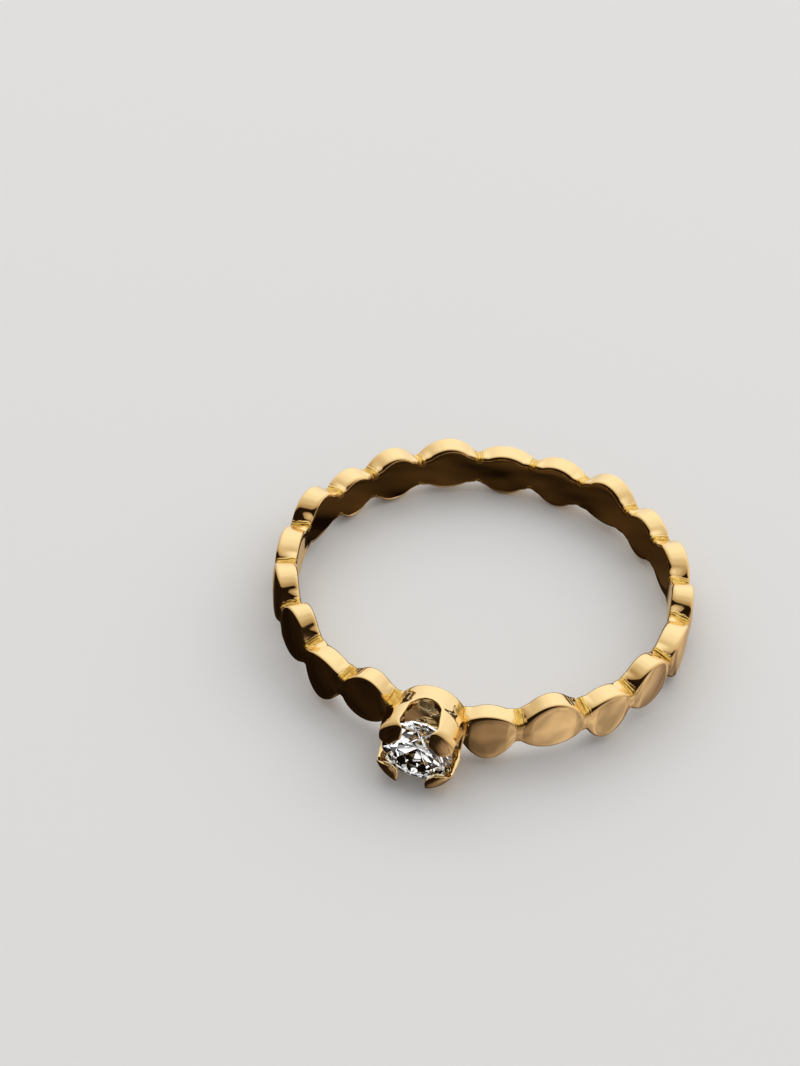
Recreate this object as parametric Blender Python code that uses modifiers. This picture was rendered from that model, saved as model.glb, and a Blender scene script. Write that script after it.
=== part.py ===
# Solitaire ring: a yellow gold band of twenty scallops, cast and soldered in one with a crown of
# four claws that holds a round brilliant-cut diamond. The ring lies on its side as it rests on a
# table: on the claws and on the far scallops. The setting faces -Y, and +Z is up.
from collections import namedtuple
from math import atan2, cos, degrees, pi, radians, sin, sqrt, tan

import bmesh
import bpy
from mathutils import Matrix

# Band, in metres
finger_hole_diameter = 0.0172
band_wall = 0.0010             # radial thickness
waist_height = 0.00112         # height of the outer face at a notch between two scallops
scallop_rise = 0.00064         # crest of an even scallop above the waist, and as much below it
notch_width = 0.00030          # floor of a notch, measured along the band
notch_slope = 0.00022          # the floor of a notch climbs by this much from outside to inside
notch_pinch = 0.00005          # the outer face draws in by this much at a notch
outer_dome = 0.00003           # the outer face swells by this much at mid height
outer_edge_radius = 0.00012
inner_edge_radius = 0.00020
scallop_steps = 9              # lengths in each scallop; an odd number leaves a level one on top

# Diamond, in metres and degrees
stone_diameter = 0.00322
table_diameter = 0.00184
girdle_height = 0.00010
crown_angle = 34.5
pavilion_angle = 40.8
star_reach = 0.5               # star facets, as a share of the way from the table to the girdle
lower_half_reach = 0.78        # lower half facets, as a share of the way from girdle to culet

# Crown of claws, in metres
stone_lift = 0.00160           # from the band's outer face to the middle of the girdle
crown_foot_radius = 0.00162    # outside of the crown where it meets the band
crown_wall_radius = 0.00198    # outside of the crown from below the girdle upwards
swell_depth = 0.00090          # that radius is reached this far below the girdle
claw_reach = 0.00050           # how far a claw folds in over the stone's edge
claw_thickness = 0.00031       # over the stone
stone_clearance = 0.00006      # round the stone, on every side
bore_clearance = 0.00002       # the crown's foot stands back from the finger hole by this much
culet_clearance = 0.00025      # floor of the cup below the stone's point
cup_corner = 0.00035           # the cup closes in on the light hole over this height
seat_width = 0.00020           # ledge under the girdle
casting_allowance = 0.00005    # gold that the cast crown has to spare where it is cut to the stone
arch_radius = 0.00070          # round foot of the arch between two claws
arch_width = 0.00172           # of the same arch beside the girdle
arch_mouth_width = 0.00132     # of the same arch between the tips of the claws
arch_depth = 0.00148           # lowest point of an arch below the girdle
light_hole_diameter = 0.0011   # drilled through the band under the stone
cut_margin = 0.0010            # cutters stand out by this much
crown_steps = 48               # sides of the turned crown
cast_grain = 0.00006           # cell in which the crown's edges are rounded
cast_rounding = 16             # passes that round them
cast_faces_kept = 0.14         # share of those cells' faces that the crown keeps

# turn: how far the notch before a scallop stands off its even place, in degrees.
# top, bottom: the two crests, as shares of scallop_rise.
Scallop = namedtuple("Scallop", "turn top bottom")
scallops = [
    Scallop(turn=-0.2, top=0.68, bottom=1.49),
    Scallop(turn=-1.1, top=1.44, bottom=0.69),
    Scallop(turn=0.7, top=0.59, bottom=1.32),
    Scallop(turn=-0.9, top=1.16, bottom=0.78),
    Scallop(turn=-0.7, top=0.72, bottom=1.20),
    Scallop(turn=-0.7, top=1.12, bottom=0.82),
    Scallop(turn=-1.5, top=1.17, bottom=0.74),
    Scallop(turn=0.2, top=0.81, bottom=1.02),
    Scallop(turn=-1.2, top=1.29, bottom=0.62),
    Scallop(turn=0.2, top=0.69, bottom=1.16),
    Scallop(turn=-0.7, top=0.62, bottom=1.20),
    Scallop(turn=-0.8, top=1.14, bottom=0.83),
    Scallop(turn=0.7, top=1.04, bottom=1.16),
    Scallop(turn=0.2, top=0.66, bottom=1.17),
    Scallop(turn=-2.5, top=1.35, bottom=0.70),
    Scallop(turn=-0.6, top=0.75, bottom=1.18),
    Scallop(turn=-0.7, top=1.40, bottom=0.64),
    Scallop(turn=0.9, top=1.60, bottom=0.68),
    Scallop(turn=0.9, top=0.46, bottom=1.47),
    Scallop(turn=-0.9, top=1.26, bottom=0.80),
]
last_notch_turn = -2.2
setting_place = Scallop(turn=last_notch_turn, top=0.0, bottom=0.0)

# Worked out from the sizes above
inner_radius = finger_hole_diameter / 2
outer_radius = inner_radius + band_wall
place_angle = 2 * pi / (len(scallops) + 1)
setting_angle = radians(270)
stone_radius = stone_diameter / 2
table_radius = table_diameter / 2
girdle_distance = outer_radius + stone_lift
crown_swell_distance = girdle_distance - swell_depth
arch_foot_distance = girdle_distance - arch_depth
girdle_top = girdle_distance + girdle_height / 2
girdle_bottom = girdle_distance - girdle_height / 2


def new_collection(name):
    collection = bpy.data.collections.new(name)
    bpy.context.scene.collection.children.link(collection)
    return collection


def new_material(name, colour, metallic, roughness):
    material = bpy.data.materials.new(name)
    material.use_nodes = True
    shader = material.node_tree.nodes["Principled BSDF"]
    shader.inputs["Base Color"].default_value = (*colour, 1)
    shader.inputs["Metallic"].default_value = metallic
    shader.inputs["Roughness"].default_value = roughness
    return material


def new_object(name, mesh, collection, parent, material=None):
    piece = bpy.data.objects.new(name, mesh)
    collection.objects.link(piece)
    piece.parent = parent
    if material:
        mesh.materials.append(material)
    return piece


def as_cutter(piece):
    piece.hide_render = True
    piece.display_type = "WIRE"
    return piece


def boolean(piece, other, operation):
    modifier = piece.modifiers.new(f"{operation} {other.name}".lower(), "BOOLEAN")
    modifier.operation = operation
    modifier.solver = "EXACT"
    modifier.object = other


def mesh_from(form, name):
    mesh = bpy.data.meshes.new(name)
    form.to_mesh(mesh)
    form.free()
    return mesh


# Band
def notch_angles():
    turns = [scallop.turn for scallop in scallops] + [setting_place.turn]
    return [setting_angle + place_angle * (index + 0.5) + radians(turn)
            for index, turn in enumerate(turns)]


def corner(centre_radius, centre_height, radius, first, last):
    """three points of a rounded edge, from angle first to angle last, in degrees"""
    return [(centre_radius + radius * cos(radians(angle)), centre_height + radius * sin(radians(angle)))
            for angle in (first, (first + last) / 2, last)]


def band_section(rise_top, rise_bottom, swell):
    """outline of the band cut across, as (radius, height); swell is 0 at a notch and 1 away from it"""
    slope = notch_slope * (1 - swell)
    outside = outer_radius - notch_pinch * (1 - swell)
    top = waist_height / 2 + rise_top
    bottom = -waist_height / 2 - rise_bottom
    outer_centre = outside - outer_edge_radius
    inner_centre = inner_radius + inner_edge_radius
    points = [(outside + outer_dome, (top + bottom) / 2)]
    points += corner(outer_centre, top - outer_edge_radius, outer_edge_radius, 0, 90)
    points += corner(inner_centre, top + slope - inner_edge_radius, inner_edge_radius, 90, 180)
    points += corner(inner_centre, bottom - slope + inner_edge_radius, inner_edge_radius, 180, 270)
    points += corner(outer_centre, bottom + outer_edge_radius, outer_edge_radius, 270, 360)
    return points


def band_sections():
    """the sections all the way round, as (angle, outline)"""
    notches = notch_angles()
    half_floor = notch_width / 2 / outer_radius
    sections = []
    for index, place in enumerate(scallops + [setting_place]):
        start = notches[index] + half_floor
        end = notches[(index + 1) % len(notches)] - half_floor
        if end < start:
            end += 2 * pi
        for step in range(scallop_steps + 1):
            share = step / scallop_steps
            arc = 1 - (2 * share - 1) ** 2
            swell = min(1, 2 * arc) if place.top or place.bottom else 0
            outline = band_section(place.top * scallop_rise * arc, place.bottom * scallop_rise * arc, swell)
            sections.append((start + (end - start) * share, outline))
    return sections


def band_form():
    form = bmesh.new()
    rings = []
    for angle, outline in band_sections():
        rings.append([form.verts.new((radius * cos(angle), radius * sin(angle), height))
                      for radius, height in outline])
    for ring, following in zip(rings, rings[1:] + rings[:1]):
        for corner_index in range(len(ring)):
            after = (corner_index + 1) % len(ring)
            form.faces.new((ring[corner_index], following[corner_index], following[after], ring[after]))
    bmesh.ops.recalc_face_normals(form, faces=form.faces)
    return form


# Crown of claws: turned about its own +Z, with heights measured from the ring's axis
def crown_height(radius):
    """height of the stone's crown facets above a point at this radius"""
    return girdle_top + (stone_radius - radius) * tan(radians(crown_angle))


def pavilion_height(radius):
    return girdle_bottom - (stone_radius - radius) * tan(radians(pavilion_angle))


def claw_top():
    underside = crown_height(stone_radius - claw_reach) + stone_clearance / cos(radians(crown_angle))
    return underside + claw_thickness


def crown_profile():
    """wall of the crown as (radius, height), down its outside and up its inside, round the stone"""
    clearance = stone_clearance - casting_allowance
    inside = stone_space_profile(clearance)
    cup_floor = inside[-1][1]
    seat_and_rim = inside[5:1:-1]
    tip_radius = stone_radius - claw_reach
    pilot_radius = light_hole_diameter / 4
    top = claw_top()
    fold_width = crown_wall_radius - tip_radius - 0.2 * claw_thickness
    fold_height = top - girdle_top
    fold_steps = 6
    fold = [(crown_wall_radius - fold_width * (1 - cos(angle)), girdle_top + fold_height * sin(angle))
            for angle in (pi / 2 * (1 - step / fold_steps) for step in range(fold_steps + 1))]
    return fold + [
        (crown_wall_radius, crown_swell_distance),
        (0.6 * crown_wall_radius + 0.4 * crown_foot_radius, 0.5 * (crown_swell_distance + outer_radius)),
        (crown_foot_radius, 0.5 * (inner_radius + outer_radius)),
        (crown_foot_radius, inner_radius + bore_clearance),
        (pilot_radius, inner_radius + bore_clearance),
        (pilot_radius, cup_floor),
        *seat_and_rim,
        (tip_radius, crown_height(tip_radius) + clearance / cos(radians(crown_angle))),
        (tip_radius, top - 0.3 * claw_thickness),
    ]


def stone_space_profile(clearance):
    """the stone with its clearance, the ledge under its girdle and the cup below, from top to bottom"""
    rim_radius = stone_radius + clearance
    seat_radius = stone_radius - seat_width
    floor = pavilion_height(0) - culet_clearance
    above = clearance / cos(radians(crown_angle))
    below = clearance / cos(radians(pavilion_angle))
    return [
        (0, crown_height(table_radius) + above),
        (table_radius, crown_height(table_radius) + above),
        (rim_radius, crown_height(rim_radius) + above),
        (rim_radius, pavilion_height(rim_radius) - below),
        (seat_radius, pavilion_height(seat_radius) - below),
        (seat_radius, floor + cup_corner),
        (light_hole_diameter / 2, floor),
        (0, floor),
    ]


def turned_form(name, profile, closed, collection, parent):
    """a profile turned about the object's own Z axis"""
    form = bmesh.new()
    points = [form.verts.new((radius, 0, height)) for radius, height in profile]
    for point, following in zip(points, points[1:]):
        form.edges.new((point, following))
    if closed:
        form.edges.new((points[-1], points[0]))
    piece = new_object(name, mesh_from(form, name), collection, parent)
    screw = piece.modifiers.new("turn", "SCREW")
    screw.axis = "Z"
    screw.angle = 2 * pi
    screw.steps = crown_steps
    screw.render_steps = crown_steps
    screw.use_merge_vertices = True
    screw.merge_threshold = 0.000001
    return as_cutter(piece)


def arch_outline():
    """the arch between two claws, as (across, height): a round foot, then a mouth that closes in"""
    centre = arch_foot_distance + arch_radius
    arc_steps = 12
    angles = [pi + pi * step / arc_steps for step in range(arc_steps + 1)]
    foot = [(arch_radius * cos(angle), centre + arch_radius * sin(angle)) for angle in angles]
    sides = [
        (arch_width / 2, 0.8 * girdle_top + 0.2 * claw_top()),
        (arch_mouth_width / 2, 0.3 * girdle_top + 0.7 * claw_top()),
        (arch_mouth_width / 2, claw_top() + cut_margin),
    ]
    return foot + sides + [(-across, height) for across, height in reversed(sides)]


def slab_from_outline(name, outline, half_depth, collection, parent):
    """a flat outline in X and Z, given its thickness along Y"""
    curve = bpy.data.curves.new(name, "CURVE")
    curve.dimensions = "2D"
    curve.fill_mode = "BOTH"
    curve.extrude = half_depth
    spline = curve.splines.new("POLY")
    spline.points.add(len(outline) - 1)
    for point, (across, height) in zip(spline.points, outline):
        point.co = (across, height, 0, 1)
    spline.use_cyclic_u = True
    flat = bpy.data.objects.new(name + "_outline", curve)
    collection.objects.link(flat)
    mesh = bpy.data.meshes.new_from_object(flat.evaluated_get(bpy.context.evaluated_depsgraph_get()))
    bpy.data.objects.remove(flat)
    form = bmesh.new()
    form.from_mesh(mesh)
    bmesh.ops.remove_doubles(form, verts=form.verts, dist=0.000001)
    bmesh.ops.recalc_face_normals(form, faces=form.faces)
    form.transform(Matrix.Rotation(radians(90), 4, "X"))
    form.to_mesh(mesh)
    form.free()
    return new_object(name, mesh, collection, parent)


def cylinder_cutter(name, radius, length, sides, collection, parent):
    form = bmesh.new()
    bmesh.ops.create_cone(form, cap_ends=True, segments=sides, radius1=radius, radius2=radius, depth=length)
    return as_cutter(new_object(name, mesh_from(form, name), collection, parent))


def round_as_cast(piece):
    """rounds every edge of the piece, as casting and polishing do"""
    remesh = piece.modifiers.new("cast", "REMESH")
    remesh.mode = "VOXEL"
    remesh.voxel_size = cast_grain
    smooth = piece.modifiers.new("polish", "SMOOTH")
    smooth.factor = 0.5
    smooth.iterations = cast_rounding
    fewer = piece.modifiers.new("fewer faces", "DECIMATE")
    fewer.ratio = cast_faces_kept


def make_crown(collection, setting):
    crown = turned_form("claw_crown_form", crown_profile(), True, collection, setting)
    half_depth = crown_wall_radius + cut_margin
    for name, turn in (("arch_across", 0), ("arch_along", 90)):
        slab = as_cutter(slab_from_outline(name, arch_outline(), half_depth, collection, setting))
        slab.rotation_euler = (0, 0, radians(turn))
        boolean(crown, slab, "DIFFERENCE")
    round_as_cast(crown)
    stone_space = stone_space_profile(stone_clearance)
    boolean(crown, turned_form("stone_space", stone_space, False, collection, setting), "DIFFERENCE")
    return crown


def make_gold(part, cutters, axis, setting):
    gold = new_material("yellow_gold", (0.83, 0.56, 0.22), 1.0, 0.12)
    ring = new_object("scalloped_band_with_claws", mesh_from(band_form(), "scalloped_band_with_claws"), part,
                      axis, gold)
    boolean(ring, make_crown(cutters, setting), "UNION")
    drill_length = arch_foot_distance - inner_radius + 2 * cut_margin
    drill = cylinder_cutter("light_hole", light_hole_diameter / 2, drill_length, 32, cutters, setting)
    drill.location = (0, 0, 0.5 * (inner_radius + arch_foot_distance))
    boolean(ring, drill, "DIFFERENCE")
    ring.data.shade_smooth()
    ring.data.set_sharp_from_angle(angle=radians(35))
    return ring


# Diamond: its own +Z points out through the table, with heights measured from the ring's axis
def stone_points():
    sectors = 8
    sector = 2 * pi / sectors
    half = sector / 2
    table_height = crown_height(table_radius)
    star_radius = table_radius * cos(half) + star_reach * (stone_radius - table_radius * cos(half))
    lower_radius = stone_radius * (1 - lower_half_reach)
    points = []
    for index in range(sectors):
        main = index * sector
        between = main + half
        rows = [
            (main, table_radius, table_height),
            (between, star_radius, crown_height(star_radius * cos(half))),
            (between, lower_radius, pavilion_height(lower_radius * cos(half))),
        ]
        rows += [(angle, stone_radius, height) for angle in (main, between) for height in (girdle_top, girdle_bottom)]
        points += [(radius * cos(angle), radius * sin(angle), height) for angle, radius, height in rows]
    return points + [(0, 0, pavilion_height(0))]


def make_stone(part, setting):
    form = bmesh.new()
    for point in stone_points():
        form.verts.new(point)
    hull = bmesh.ops.convex_hull(form, input=form.verts)
    unused = [item for item in hull["geom_interior"] if isinstance(item, bmesh.types.BMVert)]
    bmesh.ops.delete(form, geom=unused, context="VERTS")
    bmesh.ops.dissolve_limit(form, angle_limit=radians(0.5), verts=form.verts, edges=form.edges)
    bmesh.ops.recalc_face_normals(form, faces=form.faces)
    diamond = new_material("diamond", (0.93, 0.94, 0.95), 0.0, 0.02)
    stone = new_object("round_diamond", mesh_from(form, "round_diamond"), part, setting, diamond)
    stone.rotation_euler = (0, 0, radians(11))
    return stone


# The ring's rest: one side of the crown and the two far scallops on the table
def rest_pose():
    """tilt of the ring's axis, and the place of its middle: the part's own middle is over the origin"""
    far = scallops[len(scallops) // 2 - 1: len(scallops) // 2 + 1]
    far_height = waist_height / 2 + scallop_rise * max(scallop.bottom for scallop in far)
    far_reach = outer_radius * cos(place_angle / 2)
    beside_arch = sqrt(crown_wall_radius ** 2 - arch_radius ** 2)
    tilt = atan2(beside_arch - far_height, crown_swell_distance + far_reach)
    height = beside_arch * cos(tilt) - crown_swell_distance * sin(tilt)
    return tilt, (0, 0.5 * (claw_top() - outer_radius), height)


def build():
    for leftover in list(bpy.data.objects):
        bpy.data.objects.remove(leftover)
    part = new_collection("solitaire_ring")
    cutters = new_collection("cutters")

    tilt, place = rest_pose()
    axis = bpy.data.objects.new("ring_axis", None)
    part.objects.link(axis)
    axis.location = place
    axis.rotation_euler = (-tilt, 0, 0)
    setting = bpy.data.objects.new("setting_axis", None)
    part.objects.link(setting)
    setting.parent = axis
    setting.rotation_euler = (radians(90), 0, 0)

    make_gold(part, cutters, axis, setting)
    make_stone(part, setting)
    print(f"ring rests at a tilt of {degrees(tilt):.2f} degrees")


build()
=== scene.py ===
from math import atan2, ceil, cos, exp, pi, radians, sin, sqrt, tan

import bmesh
import bpy
from mathutils import Matrix, Vector, noise


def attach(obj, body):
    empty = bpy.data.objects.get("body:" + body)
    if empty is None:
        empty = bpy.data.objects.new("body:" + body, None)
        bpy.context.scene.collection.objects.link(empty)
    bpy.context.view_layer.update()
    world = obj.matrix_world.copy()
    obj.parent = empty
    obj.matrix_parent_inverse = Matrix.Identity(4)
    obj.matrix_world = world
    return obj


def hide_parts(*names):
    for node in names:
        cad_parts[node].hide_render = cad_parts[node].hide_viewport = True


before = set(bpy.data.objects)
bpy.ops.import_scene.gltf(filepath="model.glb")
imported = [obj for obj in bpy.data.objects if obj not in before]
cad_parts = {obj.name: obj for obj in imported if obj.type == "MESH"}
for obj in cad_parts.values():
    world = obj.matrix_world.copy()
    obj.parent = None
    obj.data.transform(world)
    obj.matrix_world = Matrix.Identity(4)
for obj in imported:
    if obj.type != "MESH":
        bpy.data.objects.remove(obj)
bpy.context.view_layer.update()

mm = 0.001
goldNode = "scalloped_band_with_claws"
stoneNode = "round_diamond"

# the band: one gold hoop of scallops with a filed notch between each two
band = {
    "fingerHole": 17.2 * mm,
    "wall": 1.0 * mm,
    "waistHeight": 1.12 * mm,
    "scallopRise": 0.64 * mm,
    "notchWidth": 0.30 * mm,
    "notchSlope": 0.22 * mm,       # a notch's floor climbs this much towards the finger
    "notchPinch": 0.05 * mm,
    "outerDome": 0.06 * mm,
    "outerEdge": 0.15 * mm,
    "innerEdge": 0.20 * mm,
    "filedFull": 0.11 * mm,        # file marks are deepest this near to a notch's middle
    "filedEnd": 0.32 * mm,         # and end here
    "filedDepth": 0.030 * mm,
    "strokeWidth": 0.045 * mm,
    "strokeLength": 0.9 * mm,
    "grooveDepth": 0.07 * mm,      # the file's last cut, along the middle of each notch
    "grooveWidth": 0.07 * mm,
    "grooveSway": 0.09 * mm,
    "swayLength": 1.2 * mm,
    "chipDepth": 0.078 * mm,
    "chipWidth": 0.12 * mm,
    "chipLength": 0.18 * mm,
    "chipThreshold": 0.25,
    "markGrain": (0.05 * mm, 0.8 * mm, 0.4 * mm),    # grain of the shader's strokes, three ways
    "fineStep": 0.022 * mm,        # spacing of sections in a notch
    "plainSteps": 30,              # sections in a scallop's plain stretch
    "edgeSteps": 6,
    "faceSteps": 8,
    "middleAlong": 1.18822 * mm,   # the hoop's middle lies this far along +Y
    "handWork": 0.012 * mm,        # a crest wanders this much, as hand finishing leaves it
    "handWaves": 2.3,
}
# one row a scallop, anticlockwise from the setting: notch turn in degrees, then the
# two crests as shares of scallopRise
scallops = [
    (-0.2, 0.68, 1.49), (-1.1, 1.44, 0.69), (0.7, 0.59, 1.32), (-0.9, 1.16, 0.78),
    (-0.7, 0.72, 1.20), (-0.7, 1.12, 0.82), (-1.5, 1.17, 0.74), (0.2, 0.81, 1.02),
    (-1.2, 1.29, 0.62), (0.2, 0.69, 1.16), (-0.7, 0.62, 1.20), (-0.8, 1.14, 0.83),
    (0.7, 1.04, 1.16), (0.2, 0.66, 1.17), (-2.5, 1.35, 0.70), (-0.6, 0.75, 1.18),
    (-0.7, 1.40, 0.64), (0.9, 1.60, 0.68), (0.9, 0.46, 1.47), (-0.9, 1.26, 0.80),
]
settingPlace = (-2.2, 0.0, 0.0)    # the head takes this place, so it has no crests

# the diamond, as the CAD solid has it: the claws are fitted to it
stone = {
    "radius": 1.61 * mm,
    "girdle": 0.10 * mm,
    "crownAngle": radians(34.5),
    "pavilionAngle": radians(40.8),
}

# the crown of claws
head = {
    "girdleDistance": 11.20 * mm,
    "footRadius": 1.62 * mm,
    "wallRadius": 1.98 * mm,
    "waistShare": 0.6,             # the waist lies this far out from the foot towards the wall
    "swellDistance": 10.30 * mm,
    "clawReach": 0.44 * mm,
    "clawThickness": 0.40 * mm,
    "bevelWidth": 0.2,             # the bevel on a claw's tip, as shares of its thickness
    "bevelDepth": 0.3,
    "foldSteps": 16,
    "stoneGap": 0.06 * mm,
    "boreGap": 0.02 * mm,
    "easing": 0.05 * mm,           # room for what the rounding adds in the crown's inner corners
    "seatWidth": 0.20 * mm,
    "culetGap": 0.25 * mm,
    "cupCorner": 0.35 * mm,
    "archRadius": 0.70 * mm,
    "archWidth": 1.72 * mm,
    "archMouth": 1.20 * mm,
    "archFoot": 9.72 * mm,
    "archSteps": 32,
    "widestAt": 0.2,               # shares of the way from the girdle to the claws' tops
    "mouthAt": 0.7,
    "lightHole": 1.1 * mm,
    "drillSides": 64,
    "cutMargin": 1.0 * mm,
    "turnSteps": 128,
    "castGrain": 0.036 * mm,       # cell in which the edges are rounded
    "castRounding": 90,
    "sharpFrom": radians(38),
    "filedBelow": 0.1 * mm,        # the file marks beside the band fade out from this far inside
    "filedAbove": 0.25 * mm,       # its outer face to this far outside it
    "filedBeside": (1.0 * mm, 1.3 * mm),
    "markGrain": (0.06 * mm, 0.8 * mm, 0.8 * mm),
}

innerRadius = band["fingerHole"] / 2
outerRadius = innerRadius + band["wall"]
placeAngle = 2 * pi / (len(scallops) + 1)
settingAngle = radians(270)
girdleTop = head["girdleDistance"] + stone["girdle"] / 2
girdleBottom = head["girdleDistance"] - stone["girdle"] / 2


def smoothstep(low, high, value):
    share = min(1, max(0, (value - low) / (high - low)))
    return share * share * (3 - 2 * share)


def crownHeight(radius):
    return girdleTop + (stone["radius"] - radius) * tan(stone["crownAngle"])


def pavilionHeight(radius):
    return girdleBottom - (stone["radius"] - radius) * tan(stone["pavilionAngle"])


clawTop = (crownHeight(stone["radius"] - head["clawReach"])
           + head["stoneGap"] / cos(stone["crownAngle"]) + head["clawThickness"])


def ringPose():
    # the ring lies on one side of its head and on the lower of the two far scallops
    far = scallops[len(scallops) // 2 - 1: len(scallops) // 2 + 1]
    farHeight = band["waistHeight"] / 2 + band["scallopRise"] * max(row[2] for row in far)
    besideArch = sqrt(head["wallRadius"] ** 2 - head["archRadius"] ** 2)
    tilt = atan2(besideArch - farHeight, head["swellDistance"] + outerRadius * cos(placeAngle / 2))
    height = besideArch * cos(tilt) - head["swellDistance"] * sin(tilt)
    middle = Vector((0, band["middleAlong"], height))
    return Matrix.Translation(middle) @ Matrix.Rotation(-tilt, 4, "X")


ringToWorld = ringPose()
# the setting's own +Z points away from the finger
settingToRing = Matrix.Rotation(radians(90), 4, "X")


def newPiece(name, mesh, material=None):
    piece = bpy.data.objects.new(name, mesh)
    bpy.context.scene.collection.objects.link(piece)
    if material:
        mesh.materials.clear()
        mesh.materials.append(material)
    return piece


def meshFrom(name, form):
    mesh = bpy.data.meshes.new(name)
    form.to_mesh(mesh)
    form.free()
    return mesh


# Node helpers
def newMaterial(name):
    material = bpy.data.materials.new(name)
    material.use_nodes = True
    tree = material.node_tree
    return material, tree, tree.nodes["Principled BSDF"]


def addNode(tree, kind, values=None, **settings):
    node = tree.nodes.new(kind)
    for name, value in settings.items():
        setattr(node, name, value)
    for socket, value in (values or {}).items():
        node.inputs[socket].default_value = value
    return node


def shadeRamp(tree, stops, interpolation="LINEAR"):
    ramp = addNode(tree, "ShaderNodeValToRGB")
    ramp.color_ramp.interpolation = interpolation
    marks = ramp.color_ramp.elements
    while len(marks) < len(stops):
        marks.new(0.5)
    for mark, (position, shade) in zip(marks, stops):
        mark.position = position
        mark.color = (*shade, 1)
    return ramp


def newGroup(name, inputs, outputs):
    # every socket of these groups is a plain number
    group = bpy.data.node_groups.new(name, "ShaderNodeTree")
    for socket, value in inputs.items():
        made = group.interface.new_socket(socket, in_out="INPUT", socket_type="NodeSocketFloat")
        made.default_value = value
    for socket in outputs:
        group.interface.new_socket(socket, in_out="OUTPUT", socket_type="NodeSocketFloat")
    return group, group.nodes.new("NodeGroupInput"), group.nodes.new("NodeGroupOutput")


def placeGroup(tree, group, **values):
    node = tree.nodes.new("ShaderNodeGroup")
    node.node_tree = group
    for socket, value in values.items():
        node.inputs[socket].default_value = value
    return node


def polishWaves():
    # the soft waviness that hand polishing leaves on a bright face
    group, taken, given = newGroup("polishWaves", {"Scale": 400.0, "Amount": 1.0}, ["Height"])
    place = addNode(group, "ShaderNodeTexCoord")
    broad = addNode(group, "ShaderNodeTexNoise", {"Detail": 1.0, "Roughness": 0.4})
    scaled = addNode(group, "ShaderNodeMath", operation="MULTIPLY")
    group.links.new(place.outputs["Object"], broad.inputs["Vector"])
    group.links.new(taken.outputs["Scale"], broad.inputs["Scale"])
    group.links.new(broad.outputs["Fac"], scaled.inputs[0])
    group.links.new(taken.outputs["Amount"], scaled.inputs[1])
    group.links.new(scaled.outputs[0], given.inputs["Height"])
    return group


def hairScratches():
    # fine rubbing marks: thin lines of a stretched noise, in two directions
    group, taken, given = newGroup("hairScratches", {"Scale": 900.0, "Share": 0.5}, ["Marks"])
    place = addNode(group, "ShaderNodeTexCoord")
    marks = []
    for turn, stretch in ((0.6, 14.0), (-1.1, 18.0)):
        mapped = addNode(group, "ShaderNodeMapping", {
            "Rotation": (0.5 * turn, turn, 0.8 * turn), "Scale": (1.0, stretch, 1.0)})
        lines = addNode(group, "ShaderNodeTexNoise", {"Detail": 2.0})
        thin = addNode(group, "ShaderNodeMapRange", {"From Min": 0.60, "From Max": 0.78})
        group.links.new(place.outputs["Object"], mapped.inputs["Vector"])
        group.links.new(mapped.outputs[0], lines.inputs["Vector"])
        group.links.new(taken.outputs["Scale"], lines.inputs["Scale"])
        group.links.new(lines.outputs["Fac"], thin.inputs["Value"])
        marks.append(thin)
    most = addNode(group, "ShaderNodeMath", operation="MAXIMUM")
    scaled = addNode(group, "ShaderNodeMath", operation="MULTIPLY")
    group.links.new(marks[0].outputs["Result"], most.inputs[0])
    group.links.new(marks[1].outputs["Result"], most.inputs[1])
    group.links.new(most.outputs[0], scaled.inputs[0])
    group.links.new(taken.outputs["Share"], scaled.inputs[1])
    group.links.new(scaled.outputs[0], given.inputs["Marks"])
    return group


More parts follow.
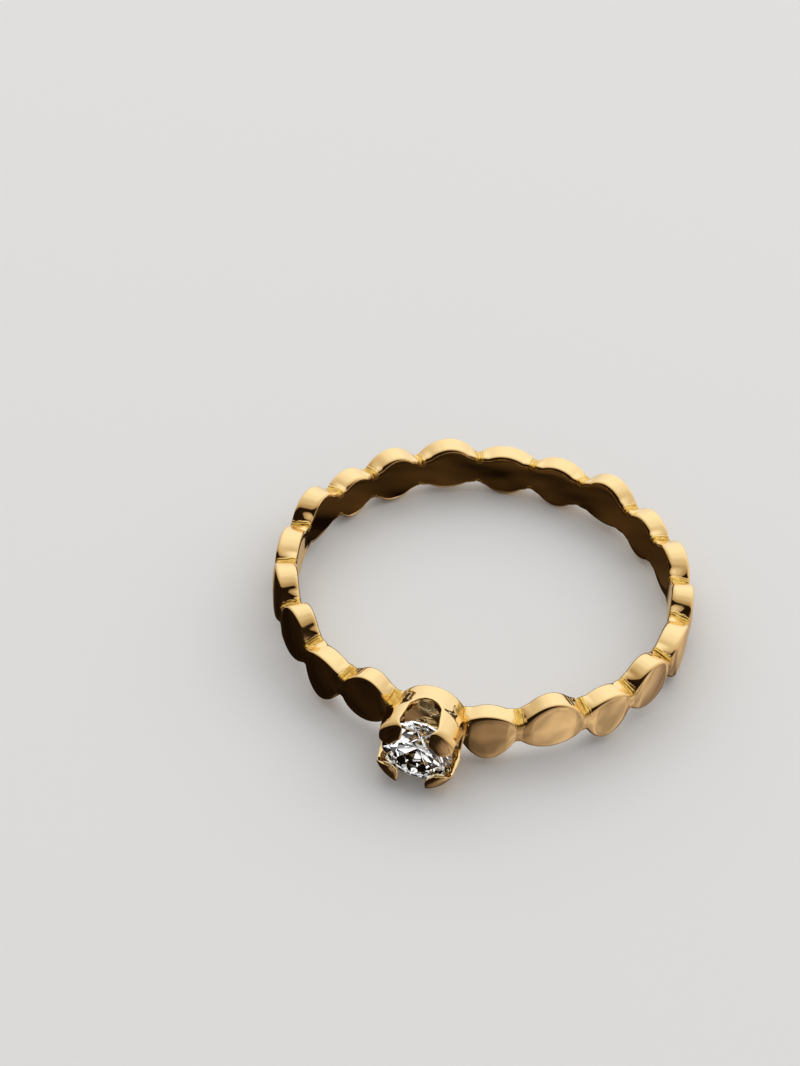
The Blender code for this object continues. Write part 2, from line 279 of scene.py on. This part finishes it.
def fileMarks():
    # the file's strokes and small pits; the mesh's "filed" is 1 in a notch and 0 away from it,
    # and its "stroke" says where a point lies along and across the strokes
    group, taken, given = newGroup("fileMarks", {"Stroke Scale": 1.0, "Pit Scale": 5000.0},
                                   ["Filed", "Height", "Shade"])
    place = addNode(group, "ShaderNodeTexCoord")
    filed = addNode(group, "ShaderNodeAttribute", attribute_name="filed")
    strokes = addNode(group, "ShaderNodeAttribute", attribute_name="stroke")
    scaledStroke = addNode(group, "ShaderNodeVectorMath", operation="SCALE")
    lines = addNode(group, "ShaderNodeTexNoise", {"Scale": 1.0, "Detail": 3.0, "Roughness": 0.65})
    pits = addNode(group, "ShaderNodeTexNoise", {"Detail": 3.0, "Roughness": 0.7})
    edge = addNode(group, "ShaderNodeTexNoise", {"Scale": 4200.0, "Detail": 3.0, "Roughness": 0.65})
    ragged = addNode(group, "ShaderNodeMath", operation="ADD")
    shifted = addNode(group, "ShaderNodeMath", {1: -0.5}, operation="ADD")
    clear = addNode(group, "ShaderNodeMapRange", {"From Min": 0.25, "From Max": 0.80},
                    interpolation_type="SMOOTHSTEP")
    both = addNode(group, "ShaderNodeMath", operation="ADD")
    held = addNode(group, "ShaderNodeMath", operation="MULTIPLY")
    group.links.new(strokes.outputs["Vector"], scaledStroke.inputs[0])
    group.links.new(taken.outputs["Stroke Scale"], scaledStroke.inputs["Scale"])
    group.links.new(scaledStroke.outputs[0], lines.inputs["Vector"])
    group.links.new(place.outputs["Object"], pits.inputs["Vector"])
    group.links.new(place.outputs["Object"], edge.inputs["Vector"])
    group.links.new(taken.outputs["Pit Scale"], pits.inputs["Scale"])
    group.links.new(edge.outputs["Fac"], shifted.inputs[0])
    group.links.new(filed.outputs["Fac"], ragged.inputs[0])
    group.links.new(shifted.outputs[0], ragged.inputs[1])
    group.links.new(ragged.outputs[0], clear.inputs["Value"])
    group.links.new(lines.outputs["Fac"], both.inputs[0])
    group.links.new(pits.outputs["Fac"], both.inputs[1])
    group.links.new(both.outputs[0], held.inputs[0])
    group.links.new(clear.outputs["Result"], held.inputs[1])
    group.links.new(clear.outputs["Result"], given.inputs["Filed"])
    group.links.new(held.outputs[0], given.inputs["Height"])
    # the stroke lines also set the filed gold's tone: painted glints and painted shade along real strokes
    group.links.new(lines.outputs["Fac"], given.inputs["Shade"])
    return group


groups = {"waves": polishWaves(), "scratches": hairScratches(), "file": fileMarks()}

gold = {
    "bright": (0.93, 0.71, 0.37, 1),
    # the filed gold runs between these two along the file strokes: the strokes are real, the light and
    # dark tones are painted glints and painted shade
    "filedPaintedGlint": (1.0, 0.72, 0.22, 1),
    "filedPaintedShade": (0.66, 0.38, 0.06, 1),
    "roughBright": 0.05,
    "roughScratched": 0.11,
    "roughFiled": 0.27,
    "waveScale": 700.0,
    "waveRelief": 0.45,
    "scratchScale": 1500.0,
    "fileRelief": 0.7,
    "reliefDepth": 0.03 * mm,
}


def goldMaterial(name):
    material, tree, shader = newMaterial(name)
    shader.inputs["Metallic"].default_value = 1.0
    waves = placeGroup(tree, groups["waves"], Scale=gold["waveScale"], Amount=1.0)
    scratches = placeGroup(tree, groups["scratches"], Scale=gold["scratchScale"], Share=1.0)
    filed = placeGroup(tree, groups["file"])
    # painted glints and painted shade along the real file strokes, in the filed notches' colour
    filedGlintAndShade = addNode(tree, "ShaderNodeMix", data_type="RGBA")
    filedGlintAndShade.inputs[6].default_value = gold["filedPaintedShade"]
    filedGlintAndShade.inputs[7].default_value = gold["filedPaintedGlint"]
    colour = addNode(tree, "ShaderNodeMix", data_type="RGBA")
    colour.inputs[6].default_value = gold["bright"]
    contrast = addNode(tree, "ShaderNodeMapRange", {"From Min": 0.35, "From Max": 0.6})
    rubbed = addNode(tree, "ShaderNodeMapRange", {
        "To Min": gold["roughBright"], "To Max": gold["roughScratched"]})
    rough = addNode(tree, "ShaderNodeMix", data_type="FLOAT")
    rough.inputs[3].default_value = gold["roughFiled"]
    waveBump = addNode(tree, "ShaderNodeBump", {
        "Strength": gold["waveRelief"], "Distance": gold["reliefDepth"]})
    fileBump = addNode(tree, "ShaderNodeBump", {
        "Strength": gold["fileRelief"], "Distance": gold["reliefDepth"]})
    link = tree.links.new
    link(filed.outputs["Shade"], contrast.inputs["Value"])
    link(contrast.outputs["Result"], filedGlintAndShade.inputs[0])
    link(filedGlintAndShade.outputs[2], colour.inputs[7])
    link(filed.outputs["Filed"], colour.inputs[0])
    link(colour.outputs[2], shader.inputs["Base Color"])
    link(scratches.outputs["Marks"], rubbed.inputs["Value"])
    link(rubbed.outputs["Result"], rough.inputs[2])
    link(filed.outputs["Filed"], rough.inputs[0])
    link(rough.outputs[0], shader.inputs["Roughness"])
    link(waves.outputs["Height"], waveBump.inputs["Height"])
    link(filed.outputs["Height"], fileBump.inputs["Height"])
    link(waveBump.outputs["Normal"], fileBump.inputs["Normal"])
    link(fileBump.outputs["Normal"], shader.inputs["Normal"])
    return material


diamondFinish = {
    "refraction": 2.42,
    "cool": (0.985, 0.99, 1.0, 1),
    "warm": (1.0, 0.985, 0.955, 1),
    "cloudScale": 900.0,
    "softest": 0.012,
}


def diamondMaterial():
    material, tree, shader = newMaterial("diamond")
    shader.inputs["Metallic"].default_value = 0.0
    shader.inputs["Transmission Weight"].default_value = 1.0
    shader.inputs["IOR"].default_value = diamondFinish["refraction"]
    place = addNode(tree, "ShaderNodeTexCoord")
    cloud = addNode(tree, "ShaderNodeTexNoise", {"Scale": diamondFinish["cloudScale"], "Detail": 2.0})
    tint = addNode(tree, "ShaderNodeMix", data_type="RGBA")
    tint.inputs[6].default_value = diamondFinish["cool"]
    tint.inputs[7].default_value = diamondFinish["warm"]
    polish = addNode(tree, "ShaderNodeMapRange", {"To Min": 0.0, "To Max": diamondFinish["softest"]})
    tree.links.new(place.outputs["Object"], cloud.inputs["Vector"])
    tree.links.new(cloud.outputs["Fac"], tint.inputs[0])
    tree.links.new(tint.outputs[2], shader.inputs["Base Color"])
    tree.links.new(cloud.outputs["Fac"], polish.inputs["Value"])
    tree.links.new(polish.outputs["Result"], shader.inputs["Roughness"])
    return material


def markFiled(mesh, filedValues, strokeValues):
    # what the fileMarks group reads from a mesh
    mesh.attributes.new("filed", "FLOAT", "POINT").data.foreach_set("value", filedValues)
    mesh.attributes.new("stroke", "FLOAT_VECTOR", "POINT").data.foreach_set("vector", strokeValues)


# Band
def notchAngles():
    turns = [row[0] for row in scallops] + [settingPlace[0]]
    return [settingAngle + placeAngle * (index + 0.5) + radians(turn)
            for index, turn in enumerate(turns)]


def roundedEdge(centreRadius, centreHeight, radius, first, last, side):
    steps = band["edgeSteps"]
    rows = []
    for step in range(steps + 1):
        angle = radians(first + (last - first) * step / steps)
        rows.append((centreRadius + radius * cos(angle), centreHeight + radius * sin(angle), side))
    return rows


def straight(start, end, steps, side):
    # points between two ends, without them
    return [(start[0] + (end[0] - start[0]) * step / steps,
             start[1] + (end[1] - start[1]) * step / steps, side)
            for step in range(1, steps)]


def crossSection(riseTop, riseBottom, swell):
    # (radius, height, side) round the band's section; side is 1 on the top face, -1 on the
    # bottom face and 0 on the other two
    slope = band["notchSlope"] * (1 - swell)
    outside = outerRadius - band["notchPinch"] * (1 - swell)
    top = band["waistHeight"] / 2 + riseTop
    bottom = -band["waistHeight"] / 2 - riseBottom
    outer = band["outerEdge"]
    inner = band["innerEdge"]
    outerCentre = outside - outer
    innerCentre = innerRadius + inner
    topOuter = roundedEdge(outerCentre, top - outer, outer, 0, 90, 1)
    topInner = roundedEdge(innerCentre, top + slope - inner, inner, 90, 180, 1)
    lowInner = roundedEdge(innerCentre, bottom - slope + inner, inner, 180, 270, -1)
    lowOuter = roundedEdge(outerCentre, bottom + outer, outer, 270, 360, -1)
    steps = band["faceSteps"]
    points = topOuter + straight(topOuter[-1], topInner[0], steps, 1) + topInner
    points += straight(topInner[-1], lowInner[0], steps, 0) + lowInner
    points += straight(lowInner[-1], lowOuter[0], steps, -1) + lowOuter
    points += straight(lowOuter[-1], topOuter[0], steps, 0)
    middle = (top + bottom) / 2
    half = (top - bottom) / 2
    domed = []
    for radius, height, side in points:
        share = (height - middle) / half
        outward = smoothstep(innerRadius, outerRadius, radius)
        domed.append((radius + band["outerDome"] * (1 - share * share) * outward, height, side))
    return domed


def bandStations():
    # all the way round: (angle, distance from the nearest notch's middle along the band, that
    # notch's number, rise of the top and of the bottom, swell)
    angles = notchAngles()
    filedEnd = band["filedEnd"]
    fineSteps = ceil(filedEnd / band["fineStep"])
    plainSteps = band["plainSteps"]
    fine = [filedEnd * step / fineSteps for step in range(fineSteps)]
    stations = []
    for index, (turn, top, bottom) in enumerate(scallops + [settingPlace]):
        start = angles[index]
        end = angles[(index + 1) % len(angles)]
        if end < start:
            end += 2 * pi
        length = (end - start) * outerRadius
        plain = [filedEnd + (length - 2 * filedEnd) * step / plainSteps for step in range(plainSteps)]
        for along in fine + plain + [length - filedEnd + more for more in fine]:
            share = (along - band["notchWidth"] / 2) / (length - band["notchWidth"])
            share = min(1, max(0, share))
            arc = 1 - (2 * share - 1) ** 2
            wave = noise.noise(Vector((along / length * band["handWaves"], index * 7.3, 1.7)))
            wander = band["handWork"] * arc * wave
            swell = min(1, 2 * arc) if top or bottom else 0
            away = along if along < length / 2 else along - length
            notch = index if along < length / 2 else index + 1
            riseTop, riseBottom = (band["scallopRise"] * crest * arc + wander for crest in (top, bottom))
            stations.append((start + along / outerRadius, away, notch % len(angles),
                             riseTop, riseBottom, swell))
    return stations


def filedOffset(away, notch, radius, side):
    # depth of the file's marks at a point of a notch, and how filed the point is
    filed = 1 - smoothstep(band["filedFull"], band["filedEnd"], abs(away))
    if not side or not filed:
        return 0.0, 0.0
    lane = Vector((away / band["strokeWidth"], radius / band["strokeLength"], notch * 3.7 + side))
    strokes = noise.fractal(lane, 1.0, 2.0, 3)
    sway = noise.noise(Vector((notch * 5.1, side * 2.0, radius / band["swayLength"])))
    offMiddle = away - band["grooveSway"] * sway
    bite = 0.6 + 0.8 * noise.noise(Vector((notch * 1.9, side, 4.2)))
    groove = exp(-(offMiddle / band["grooveWidth"]) ** 2) * bite
    grain = Vector((away / band["chipWidth"], radius / band["chipLength"], notch * 2.3 + 9 * side))
    chip = max(0, noise.noise(grain) - band["chipThreshold"])
    depth = band["filedDepth"] * (0.5 + strokes) + band["chipDepth"] * chip
    return filed * depth + band["grooveDepth"] * groove, filed


def buildBand(material):
    points = []
    filedValues = []
    strokeValues = []
    stations = bandStations()
    count = len(crossSection(0, 0, 0))
    grainAlong, grainAcross, grainUp = band["markGrain"]
    for angle, away, notch, riseTop, riseBottom, swell in stations:
        for radius, height, side in crossSection(riseTop, riseBottom, swell):
            depth, filed = filedOffset(away, notch, radius, side)
            height -= side * depth
            points.append(Vector((radius * cos(angle), radius * sin(angle), height)))
            filedValues.append(filed)
            strokeValues += [angle * outerRadius / grainAlong, radius / grainAcross, height / grainUp]
    faces = []
    for row in range(len(stations)):
        here = row * count
        there = (row + 1) % len(stations) * count
        for column in range(count):
            after = (column + 1) % count
            faces.append((here + column, there + column, there + after, here + after))
    mesh = bpy.data.meshes.new("scallopedBand")
    mesh.from_pydata(points, [], faces)
    mesh.transform(ringToWorld)
    markFiled(mesh, filedValues, strokeValues)
    mesh.shade_smooth()
    mesh.update()
    piece = newPiece("scallopedBand", mesh, material)
    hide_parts(goldNode)
    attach(piece, "root")
    print("scalloped band:", len(points), "points")


# Crown of claws: turned with the stone's space in it, cut by its arches, rounded as casting
# does, then drilled
def crownProfile():
    # (radius, height) from a claw's top, down the outside and back up inside
    gap = head["stoneGap"] + head["easing"]
    above = gap / cos(stone["crownAngle"])
    below = gap / cos(stone["pavilionAngle"])
    rim = stone["radius"] + gap
    seat = stone["radius"] - head["seatWidth"]
    tip = stone["radius"] - head["clawReach"]
    pilot = head["lightHole"] / 4
    foot = innerRadius + head["boreGap"]
    cupFloor = pavilionHeight(0) - head["culetGap"]
    waist = head["waistShare"] * head["wallRadius"] + (1 - head["waistShare"]) * head["footRadius"]
    foldWidth = head["wallRadius"] - tip - head["bevelWidth"] * head["clawThickness"]
    foldHeight = clawTop - girdleTop
    steps = head["foldSteps"]
    fold = [(head["wallRadius"] - foldWidth * (1 - cos(angle)), girdleTop + foldHeight * sin(angle))
            for angle in (pi / 2 * (1 - step / steps) for step in range(steps + 1))]
    return fold + [
        (head["wallRadius"], head["swellDistance"]),
        (waist, (head["swellDistance"] + outerRadius) / 2),
        (head["footRadius"], (innerRadius + outerRadius) / 2),
        (head["footRadius"], foot),
        (pilot, foot),
        (pilot, cupFloor),
        (seat, cupFloor + head["cupCorner"]),
        (seat, pavilionHeight(seat) - below),
        (rim, pavilionHeight(rim) - below),
        (rim, crownHeight(rim) + above),
        (tip, crownHeight(tip) + above),
        (tip, clawTop - head["bevelDepth"] * head["clawThickness"]),
    ]


def archOutline():
    centre = head["archFoot"] + head["archRadius"]
    steps = head["archSteps"]
    angles = [pi + pi * step / steps for step in range(steps + 1)]
    foot = [(head["archRadius"] * cos(angle), centre + head["archRadius"] * sin(angle))
            for angle in angles]
    widest, mouth = (girdleTop * (1 - share) + clawTop * share
                     for share in (head["widestAt"], head["mouthAt"]))
    sides = [
        (head["archWidth"] / 2, widest),
        (head["archMouth"] / 2, mouth),
        (head["archMouth"] / 2, clawTop + head["cutMargin"]),
    ]
    return foot + sides + [(-across, height) for across, height in reversed(sides)]


def turned(name, profile):
    form = bmesh.new()
    points = [form.verts.new((radius, 0, height)) for radius, height in profile]
    for point, following in zip(points, points[1:] + points[:1]):
        form.edges.new((point, following))
    piece = newPiece(name, meshFrom(name, form))
    screw = piece.modifiers.new("turn", "SCREW")
    screw.axis = "Z"
    screw.steps = head["turnSteps"]
    screw.render_steps = head["turnSteps"]
    screw.use_merge_vertices = True
    screw.merge_threshold = 0.000001
    return piece


def slab(name, outline, halfDepth):
    form = bmesh.new()
    near = [form.verts.new((across, -halfDepth, height)) for across, height in outline]
    far = [form.verts.new((across, halfDepth, height)) for across, height in outline]
    form.faces.new(near)
    form.faces.new(list(reversed(far)))
    for index in range(len(outline)):
        after = (index + 1) % len(outline)
        form.faces.new((near[after], near[index], far[index], far[after]))
    bmesh.ops.recalc_face_normals(form, faces=form.faces)
    return newPiece(name, meshFrom(name, form))


def rod(name, radius, length, sides):
    form = bmesh.new()
    bmesh.ops.create_cone(form, cap_ends=True, segments=sides,
                          radius1=radius, radius2=radius, depth=length)
    return newPiece(name, meshFrom(name, form))


def cut(piece, cutter):
    modifier = piece.modifiers.new("cut", "BOOLEAN")
    modifier.operation = "DIFFERENCE"
    modifier.solver = "EXACT"
    modifier.object = cutter


def buildHead(material):
    crown = turned("clawHead", crownProfile())
    cutters = []
    for turn in (0, 90):
        arch = slab("archCut", archOutline(), head["wallRadius"] + head["cutMargin"])
        arch.rotation_euler = (0, 0, radians(turn))
        cut(crown, arch)
        cutters.append(arch)
    remesh = crown.modifiers.new("cast", "REMESH")
    remesh.mode = "VOXEL"
    remesh.voxel_size = head["castGrain"]
    smooth = crown.modifiers.new("polish", "SMOOTH")
    smooth.iterations = head["castRounding"]
    drillLength = head["archFoot"] - innerRadius + 2 * head["cutMargin"]
    drill = rod("drill", head["lightHole"] / 2, drillLength, head["drillSides"])
    drill.location = (0, 0, (innerRadius + head["archFoot"]) / 2)
    cut(crown, drill)
    cutters.append(drill)
    bpy.context.view_layer.update()
    finished = crown.evaluated_get(bpy.context.evaluated_depsgraph_get())
    mesh = bpy.data.meshes.new_from_object(finished)
    for spent in cutters + [crown]:
        bpy.data.objects.remove(spent)
    filedValues = []
    strokeValues = []
    seamLow = outerRadius - head["filedBelow"]
    seamHigh = outerRadius + head["filedAbove"]
    grainUp, grainAlong, grainAcross = head["markGrain"]
    for point in mesh.vertices:
        across, along, height = point.co
        fromBand = 1 - smoothstep(seamLow, seamHigh, height)
        beside = smoothstep(*head["filedBeside"], abs(across))
        filedValues.append(fromBand * beside)
        strokeValues += [height / grainUp, along / grainAlong, across / grainAcross]
    markFiled(mesh, filedValues, strokeValues)
    mesh.transform(ringToWorld @ settingToRing)
    mesh.shade_smooth()
    mesh.set_sharp_from_angle(angle=head["sharpFrom"])
    piece = newPiece("clawHead", mesh, material)
    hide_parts(goldNode)
    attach(piece, "root")
    print("head of claws:", len(mesh.vertices), "points")


# Stage, lights and camera. A shade is (position, colour). For the window and the bounce,
# position 1 is straight "towards" the light and 0 is side-on or away; elsewhere it is a noise.
stage = {
    "floor": {"size": 1.6, "shade": 0.84, "spread": 0.01, "scale": 8.0},
    "skyShade": 0.45,
    "backShade": 0.74,
    # what polished gold sees of the studio: a big soft window behind and above the ring, a warm
    # bounce low on the right, and dark corners elsewhere
    "window": {
        "towards": (0.0, 0.84, 0.54),
        "shades": [(0.0, (0.0, 0.0, 0.0)), (0.15, (0.0, 0.0, 0.0)), (0.21, (0.44, 0.34, 0.23)),
                   (0.48, (0.72, 0.64, 0.52)), (0.80, (1.00, 0.97, 0.92)), (1.0, (1.13, 1.12, 1.09))],
    },
    "bounce": {
        "towards": (0.84, -0.14, -0.52),
        "shades": [(0.0, (0.016, 0.009, 0.005)), (0.40, (0.034, 0.021, 0.013)),
                   (0.66, (0.26, 0.19, 0.15)), (1.0, (0.66, 0.54, 0.46))],
    },
    # what the stone's facets pick up: small bright panes between dark ones
    "panes": {"scale": 2.6, "shades": [(0.43, (0.05, 0.05, 0.055)), (0.55, (1.8, 1.82, 1.85))]},
    "panel": {"place": (0.0, 0.30, 0.42), "size": (1.6, 0.80), "glow": 0.90, "colour": (1.0, 0.98, 0.95)},
    # painted shadow: a dark sheet under the ring that only the metal's reflections see
    "paintedShadowSheet": {"inset": 0.3 * mm, "lift": 0.004 * mm, "scale": 330.0,
             "shades": [(0.36, (0.010, 0.006, 0.004)), (0.72, (0.16, 0.095, 0.045))]},
}


def buildFloor():
    floor = stage["floor"]
    form = bmesh.new()
    bmesh.ops.create_grid(form, x_segments=8, y_segments=8, size=floor["size"] / 2)
    mesh = meshFrom("studioFloor", form)
    material, tree, shader = newMaterial("studioFloor")
    shader.inputs["Roughness"].default_value = 0.9
    shader.inputs["Specular IOR Level"].default_value = 0.0
    place = addNode(tree, "ShaderNodeTexCoord")
    cloud = addNode(tree, "ShaderNodeTexNoise", {"Scale": floor["scale"], "Detail": 2.0})
    shade = addNode(tree, "ShaderNodeMapRange", {
        "To Min": floor["shade"] - floor["spread"], "To Max": floor["shade"] + floor["spread"]})
    tree.links.new(place.outputs["Object"], cloud.inputs["Vector"])
    tree.links.new(cloud.outputs["Fac"], shade.inputs["Value"])
    tree.links.new(shade.outputs["Result"], shader.inputs["Base Color"])
    floorPiece = newPiece("studioFloor", mesh, material)
    floorPiece.visible_glossy = False       # the metal shows the studio's lights and dark corners


def softbox(name, values):
    light = bpy.data.lights.new(name, "AREA")
    light.shape = "RECTANGLE"
    light.size, light.size_y = values["size"]
    light.energy = values["glow"] * pi * light.size * light.size_y     # an even glow over the panel
    light.color = values["colour"]
    lamp = bpy.data.objects.new(name, light)
    bpy.context.scene.collection.objects.link(lamp)
    lamp.location = values["place"]
    lamp.rotation_euler = (-Vector(values["place"])).to_track_quat("-Z", "Y").to_euler()
    lamp.visible_glossy = False        # the metal has the studio's own window


def directionLobe(tree, values):
    # a shade that depends on how near a ray's direction is to one direction
    place = addNode(tree, "ShaderNodeTexCoord")
    nearness = addNode(tree, "ShaderNodeVectorMath", operation="DOT_PRODUCT")
    nearness.inputs[1].default_value = Vector(values["towards"]).normalized()
    ramp = shadeRamp(tree, values["shades"], "EASE")
    tree.links.new(place.outputs["Generated"], nearness.inputs[0])
    tree.links.new(nearness.outputs["Value"], ramp.inputs["Fac"])
    return ramp


def buildWorld():
    # the camera and the floor see a plain pale studio, the metal its window and dark corners,
    # and the stone the many small panes that make it sparkle
    world = bpy.data.worlds.new("studio")
    bpy.context.scene.world = world
    world.use_nodes = True
    tree = world.node_tree
    back = tree.nodes["Background"]
    path = addNode(tree, "ShaderNodeLightPath")
    place = addNode(tree, "ShaderNodeTexCoord")
    window = directionLobe(tree, stage["window"])
    bounce = directionLobe(tree, stage["bounce"])
    windows = addNode(tree, "ShaderNodeTexNoise", {
        "Scale": stage["panes"]["scale"], "Detail": 1.0, "Roughness": 0.4})
    panes = shadeRamp(tree, stage["panes"]["shades"])
    # soft unevenness in the bounce, as a real room has
    clutter = addNode(tree, "ShaderNodeTexNoise", {"Scale": 3.4, "Detail": 2.0, "Roughness": 0.5})
    unevenness = addNode(tree, "ShaderNodeMapRange", {
        "From Min": 0.35, "From Max": 0.65, "To Min": 0.60, "To Max": 1.25})
    uneven = addNode(tree, "ShaderNodeVectorMath", operation="SCALE")
    corners = addNode(tree, "ShaderNodeMix", data_type="RGBA", blend_type="ADD")
    corners.inputs[0].default_value = 1.0
    plain = addNode(tree, "ShaderNodeMix", data_type="RGBA")
    plain.inputs[6].default_value = (stage["skyShade"],) * 3 + (1,)
    plain.inputs[7].default_value = (stage["backShade"],) * 3 + (1,)
    metal = addNode(tree, "ShaderNodeMix", data_type="RGBA")
    gem = addNode(tree, "ShaderNodeMix", data_type="RGBA")
    link = tree.links.new
    link(place.outputs["Generated"], windows.inputs["Vector"])
    link(windows.outputs["Fac"], panes.inputs["Fac"])
    link(place.outputs["Generated"], clutter.inputs["Vector"])
    link(clutter.outputs["Fac"], unevenness.inputs["Value"])
    link(bounce.outputs["Color"], uneven.inputs[0])
    link(unevenness.outputs["Result"], uneven.inputs["Scale"])
    link(window.outputs["Color"], corners.inputs[6])
    link(uneven.outputs[0], corners.inputs[7])
    link(path.outputs["Is Camera Ray"], plain.inputs[0])
    link(plain.outputs[2], metal.inputs[6])
    link(corners.outputs[2], metal.inputs[7])
    link(path.outputs["Is Glossy Ray"], metal.inputs[0])
    link(metal.outputs[2], gem.inputs[6])
    link(panes.outputs["Color"], gem.inputs[7])
    link(path.outputs["Is Transmission Ray"], gem.inputs[0])
    link(gem.outputs[2], back.inputs["Color"])


def paintedShadowCard():
    # a dark sheet on the floor inside the ring, painted shade that stands in for the ring's own shadow
    # there: only the metal's reflections see it
    values = stage["paintedShadowSheet"]
    form = bmesh.new()
    bmesh.ops.create_circle(form, cap_ends=True, segments=64, radius=innerRadius - values["inset"])
    mesh = meshFrom("paintedShadowCard", form)
    material, tree, shader = newMaterial("paintedShadowFinish")
    shader.inputs["Specular IOR Level"].default_value = 0.0
    place = addNode(tree, "ShaderNodeTexCoord")
    cloud = addNode(tree, "ShaderNodeTexNoise", {"Scale": values["scale"], "Detail": 2.0})
    shade = shadeRamp(tree, values["shades"])
    tree.links.new(place.outputs["Object"], cloud.inputs["Vector"])
    tree.links.new(cloud.outputs["Fac"], shade.inputs["Fac"])
    tree.links.new(shade.outputs["Color"], shader.inputs["Base Color"])
    paintedShadowSheet = newPiece("paintedShadowCard", mesh, material)
    paintedShadowSheet.location = (0, ringToWorld.translation.y, values["lift"])
    paintedShadowSheet.visible_camera = False
    paintedShadowSheet.visible_diffuse = False
    paintedShadowSheet.visible_transmission = False
    paintedShadowSheet.visible_shadow = False


# the camera, from the ring's own middle: angles in degrees, pixels in the 800 x 1066 picture
camera = {
    "elevation": 40.95,
    "turn": 10.7,
    "roll": -6.39,
    "distance": 174.46 * mm,
    "focalPixels": 3805.4,
    "width": 800,
    "height": 1066,
    "middleAt": (483.76, 581.35),
    "aimHeight": 0.56 * mm,         # the point looked at lies this far above the ring's middle
}


def buildCamera():
    elevation = radians(camera["elevation"])
    roll = radians(camera["roll"])
    ahead = Vector((0, cos(elevation), -sin(elevation)))
    side = Vector((1, 0, 0))
    up = Vector((0, sin(elevation), cos(elevation)))
    plain = Matrix((cos(roll) * side - sin(roll) * up, sin(roll) * side + cos(roll) * up, ahead))
    across = (camera["middleAt"][0] - camera["width"] / 2) / camera["focalPixels"]
    rise = (camera["height"] / 2 - camera["middleAt"][1]) / camera["focalPixels"]
    offCentre = Vector((0, 0, 1)).rotation_difference(Vector((across, rise, 1)))
    aimed = offCentre.to_matrix() @ plain
    facing = Matrix((aimed[0], aimed[1], -aimed[2])).transposed().to_4x4()
    place = Matrix.Translation(-ahead * camera["distance"]) @ facing
    aim = Matrix.Translation((0, 0, camera["aimHeight"]))
    inRing = aim @ Matrix.Rotation(radians(camera["turn"]), 4, "Z") @ place
    lens = bpy.data.cameras.new("photoCamera")
    lens.sensor_fit = "AUTO"
    lens.sensor_width = 36
    lens.lens = lens.sensor_width * camera["focalPixels"] / camera["height"]
    lens.clip_start = 0.005
    eye = bpy.data.objects.new("photoCamera", lens)
    bpy.context.scene.collection.objects.link(eye)
    eye.matrix_world = ringToWorld @ inRing
    bpy.context.scene.camera = eye
    print("camera at", [round(value, 4) for value in eye.matrix_world.translation])


buildCamera()
goldFinish = goldMaterial("polishedGold")
buildBand(goldFinish)
buildHead(goldFinish)
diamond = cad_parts[stoneNode]
diamond.data.materials.clear()
diamond.data.materials.append(diamondMaterial())
buildFloor()
buildWorld()
softbox("overheadPanel", stage["panel"])
paintedShadowCard()
bpy.context.scene.view_settings.view_transform = "Standard"
print("stage set")
